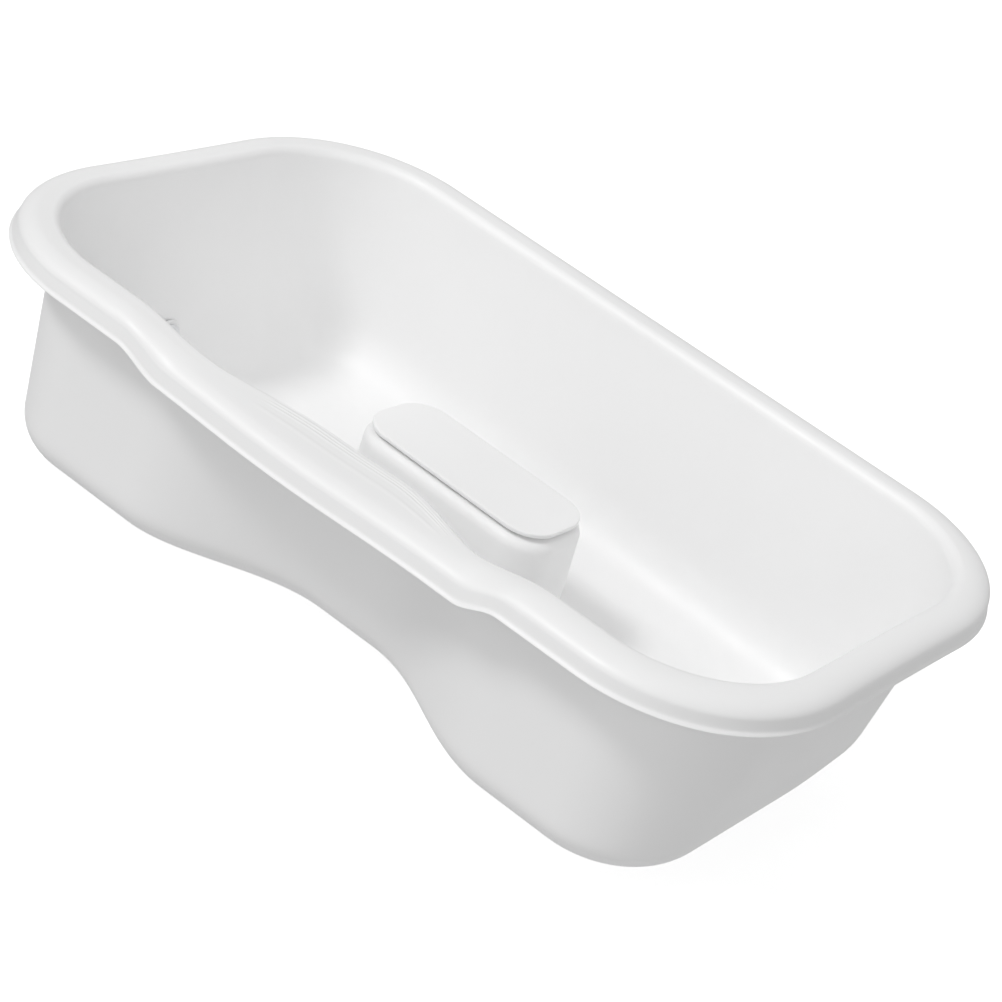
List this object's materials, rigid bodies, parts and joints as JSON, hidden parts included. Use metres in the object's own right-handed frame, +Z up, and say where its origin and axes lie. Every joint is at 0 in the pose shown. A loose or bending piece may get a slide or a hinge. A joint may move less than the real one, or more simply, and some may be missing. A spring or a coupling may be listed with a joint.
{
  "type": "baby bathtub",
  "caption": "Moulded baby bathtub with a rolled rim, an armrest dip in one side, a raised box with a lift-off lid in the floor, and an end drain with a pull-out plug.",
  "frame": {"origin": "on the surface that the tub stands on, in the middle of its length and width", "axes": "+X along the tub from the wide head end with the drain to the narrower foot end, +Y from the side with the armrest to the other side, +Z up"},
  "size_m": [0.8597, 0.5062, 0.226],
  "materials": {
    "tub_plastic": "white polypropylene with a soft satin gloss",
    "lid_plastic": "white, finely textured on top",
    "fitting_plastic": "off-white moulded fitting",
    "plug_plastic": "soft white plug",
    "grey_rubber": "matt grey rubber"
  },
  "bodies": {
    "tub": {"tub_shell": "tub_plastic", "drain_bush": "fitting_plastic", "drain_nut": "fitting_plastic", "drain_inner_seal": "grey_rubber", "drain_outer_seal": "grey_rubber", "grip_pad_head_near": "grey_rubber", "grip_pad_head_far": "grey_rubber", "grip_pad_foot_near": "grey_rubber", "grip_pad_foot_far": "grey_rubber"},
    "lid": {"lid": "lid_plastic", "lid_gasket": "grey_rubber"},
    "plug": {"drain_plug": "plug_plastic"}
  },
  "joints": [
    {"name": "lid_lift", "type": "slide", "parent": "tub", "child": "lid", "axis": [0, 0, 1], "range_m": [0, 0.125]},
    {"name": "plug_pull", "type": "slide", "parent": "tub", "child": "plug", "axis": [0.9941, 0, 0.1087], "range_m": [0, 0.04]}
  ]
}
